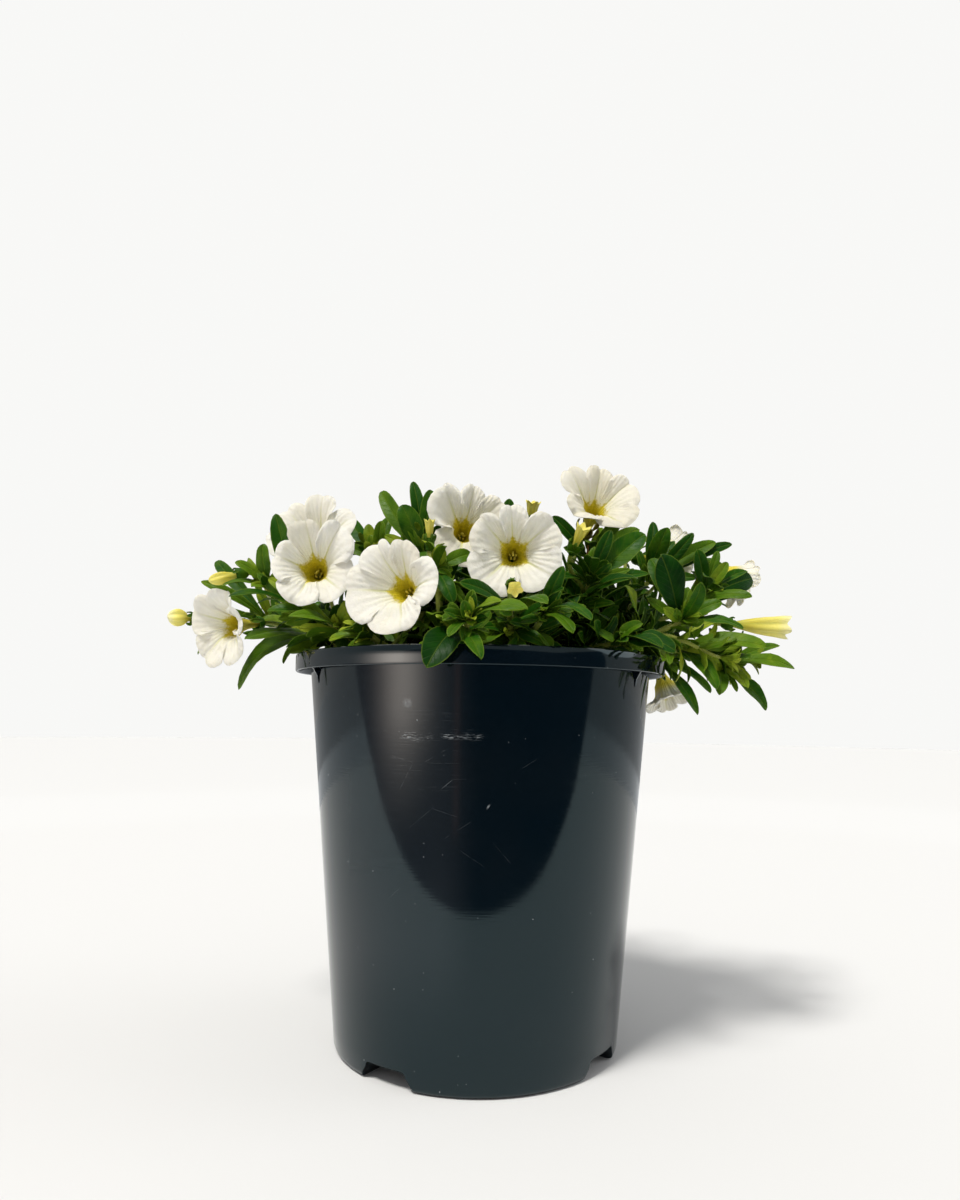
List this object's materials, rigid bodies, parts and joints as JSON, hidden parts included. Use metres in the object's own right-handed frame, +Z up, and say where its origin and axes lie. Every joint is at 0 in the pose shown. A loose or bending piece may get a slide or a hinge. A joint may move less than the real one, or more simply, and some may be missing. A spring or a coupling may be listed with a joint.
{
  "type": "calibrachoa in a nursery pot",
  "caption": "Bushy balcony plant with white trumpet blooms, yellow buds and narrow leaves, in a round black nursery pot with a deep lip and drain channels",
  "frame": {"origin": "centre of the flat underside of the pot, on the surface it stands on", "axes": "+Z up out of the pot; -Y towards the side that faces the viewer; +X to the viewer's right"},
  "size_m": [0.2814, 0.2091, 0.2563],
  "materials": {
    "pot_plastic": "satin black moulded plastic, dusty and lightly scuffed",
    "potting_mix": "loose dark fibre and bark with a few pale grains",
    "foliage": "semi-gloss green with paler midribs and fine hairs",
    "petals": "soft matt white with cream veins and a golden throat",
    "buds": "soft matt pale yellow, greener towards the calyx"
  },
  "bodies": {
    "root": {"pot": "pot_plastic", "potting_mix": "potting_mix", "branch_back": "foliage", "branch_back_left": "foliage", "branch_centre_left": "foliage", "branch_front": "foliage", "branch_front_right": "foliage", "branch_left": "foliage", "branch_left_front": "foliage", "branch_right": "foliage", "branch_right_back": "foliage", "branch_right_front": "foliage", "branch_right_low": "foliage", "branch_top": "foliage", "bloom_back": "petals", "bloom_back_left": "petals", "bloom_back_right": "petals", "bloom_centre": "petals", "bloom_front": "petals", "bloom_front_left": "petals", "bloom_left": "petals", "bloom_left_back": "petals", "bloom_left_front": "petals", "bloom_left_top": "petals", "bloom_right": "petals", "bloom_right_back": "petals", "bloom_right_low": "petals", "bloom_right_top": "petals", "bud_back": "buds", "bud_centre": "buds", "bud_front": "buds", "bud_left": "buds", "bud_left_end": "buds", "bud_right_end": "buds", "bud_right_front": "buds", "bud_top": "buds"}
  },
  "joints": []
}
